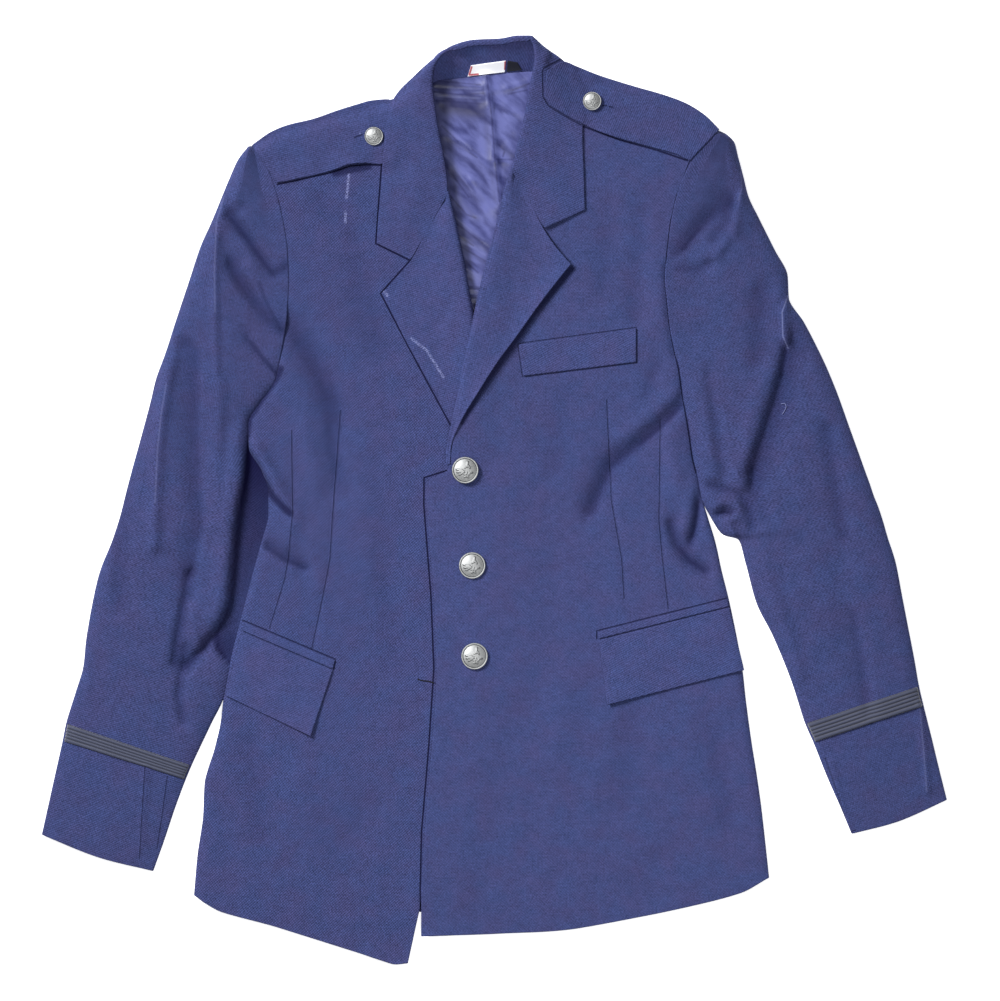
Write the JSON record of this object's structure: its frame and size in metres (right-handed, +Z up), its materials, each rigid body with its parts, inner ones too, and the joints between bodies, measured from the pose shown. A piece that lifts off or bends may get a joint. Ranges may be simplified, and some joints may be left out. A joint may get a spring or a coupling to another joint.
{
  "type": "military dress tunic",
  "caption": "Dark blue single-breasted military dress tunic laid flat, with notched lapels, shoulder straps, flap pockets, braided cuffs and silver buttons.",
  "frame": {"origin": "on the floor under the middle of the laid-out coat's outline", "axes": "+Y from the hem to the collar, +X towards the wearer's left (the viewer's right), +Z up off the floor"},
  "size_m": [0.7776, 0.7968, 0.0338],
  "materials": {
    "cloth": "dark blue wool-blend twill, soft dull sheen",
    "lining": "purple-blue satin lining",
    "braid": "dark ribbed mohair braid",
    "label": "plain white woven tape",
    "tape": "black woven tape",
    "button": "aged silver-coloured metal"
  },
  "bodies": {
    "root": {"back_right": "cloth", "back_left": "cloth", "front_right": "cloth", "front_left": "cloth", "sleeve_top_right": "cloth", "sleeve_top_left": "cloth", "sleeve_under_right": "cloth", "sleeve_under_left": "cloth", "lapel_right": "cloth", "lapel_left": "cloth", "collar": "cloth", "collar_stand": "cloth", "shoulder_strap_right": "cloth", "shoulder_strap_left": "cloth", "breast_welt": "cloth", "pocket_jet_right": "cloth", "pocket_jet_left": "cloth", "pocket_flap_right": "cloth", "pocket_flap_left": "cloth", "lining_back": "lining", "sleeve_braid_right": "braid", "sleeve_braid_left": "braid", "neck_label": "label", "hanger_loop": "tape", "front_button_1": "button", "front_button_2": "button", "front_button_3": "button", "strap_button_right": "button", "strap_button_left": "button"}
  },
  "joints": []
}
